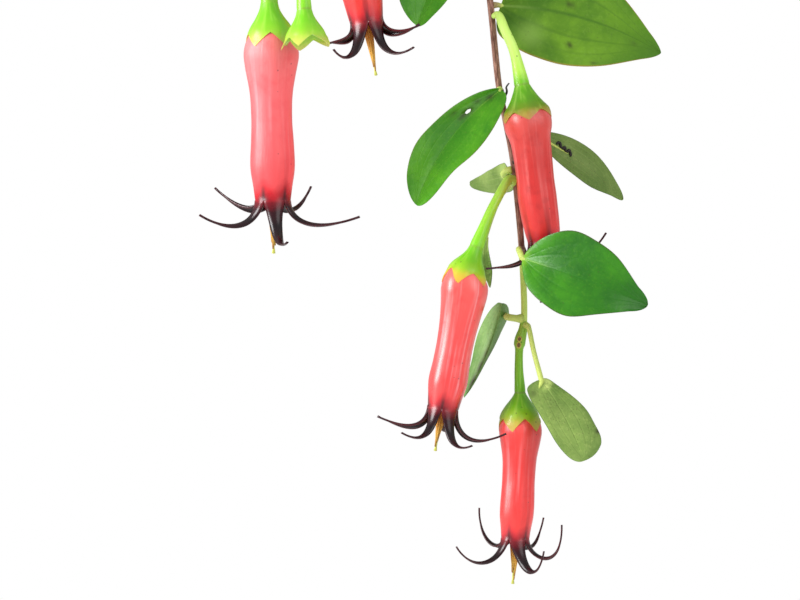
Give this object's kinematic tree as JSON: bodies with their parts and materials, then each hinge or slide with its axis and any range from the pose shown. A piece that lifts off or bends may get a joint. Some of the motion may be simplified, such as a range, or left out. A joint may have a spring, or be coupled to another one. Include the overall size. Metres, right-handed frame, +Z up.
{
  "type": "ceratostema hanging basket",
  "caption": "Trailing shrub with leathery leaves and hanging red tube flowers, growing in a coir-lined wire basket on a wire hanger and hook.",
  "frame": {"origin": "inner top of the hanging hook, where it bears on its support", "axes": "+Z up, the basket hangs plumb below; -Y is the front, where the longest flowering stem trails"},
  "size_m": [0.4213, 0.3646, 0.6399],
  "materials": {
    "black_wire": "satin black plastic-coated wire",
    "coir": "matted brown coconut fibre",
    "potting_mix": "loose dark bark chips and peat",
    "bark": "thin flaking red-brown bark with pale pores",
    "leaf_upper": "leathery, glossy mid-green, fine netted veins",
    "leaf_deep": "leathery, high gloss, deep green",
    "leaf_underside": "matt grey-green underside with brown specks",
    "calyx_green": "smooth waxy yellow-green, olive-gold tooth edges",
    "coral_corolla": "waxy coral red, near-black reflexed lobes",
    "stamen_gold": "dull orange anthers round a yellow-green style"
  },
  "bodies": {
    "root": {"hanger_hook": "black_wire", "hanger_wire_1": "black_wire", "hanger_wire_2": "black_wire", "hanger_wire_3": "black_wire", "basket_frame": "black_wire", "coir_liner": "coir", "potting_mix": "potting_mix", "woody_crown": "bark", "front_stem": "bark", "left_stem": "bark", "leaf_a": "leaf_upper", "leaf_b": "leaf_upper", "leaf_c": "leaf_underside", "leaf_d": "leaf_underside", "leaf_e": "leaf_deep", "leaf_f": "leaf_upper", "leaf_g": "leaf_underside", "leaf_h": "leaf_upper", "leaf_i": "leaf_upper", "calyx_a": "calyx_green", "corolla_a": "coral_corolla", "stamens_a": "stamen_gold", "calyx_b": "calyx_green", "corolla_b": "coral_corolla", "stamens_b": "stamen_gold", "calyx_c": "calyx_green", "corolla_c": "coral_corolla", "stamens_c": "stamen_gold", "calyx_d": "calyx_green", "corolla_d": "coral_corolla", "stamens_d": "stamen_gold", "calyx_f": "calyx_green", "corolla_f": "coral_corolla", "stamens_f": "stamen_gold", "spent_calyx": "calyx_green", "leafy_stem_1": "leaf_upper", "leafy_stem_2": "leaf_upper", "leafy_stem_3": "leaf_upper", "leafy_stem_4": "leaf_upper", "leafy_stem_5": "leaf_upper", "leafy_stem_6": "leaf_upper", "leafy_stem_7": "leaf_upper", "leafy_stem_8": "leaf_upper", "leafy_stem_9": "leaf_upper", "calyx_free_1": "calyx_green", "corolla_free_1": "coral_corolla", "calyx_free_2": "calyx_green", "corolla_free_2": "coral_corolla", "calyx_free_3": "calyx_green", "corolla_free_3": "coral_corolla", "calyx_free_4": "calyx_green", "corolla_free_4": "coral_corolla", "calyx_free_5": "calyx_green", "corolla_free_5": "coral_corolla", "calyx_free_6": "calyx_green", "corolla_free_6": "coral_corolla"}
  },
  "joints": []
}
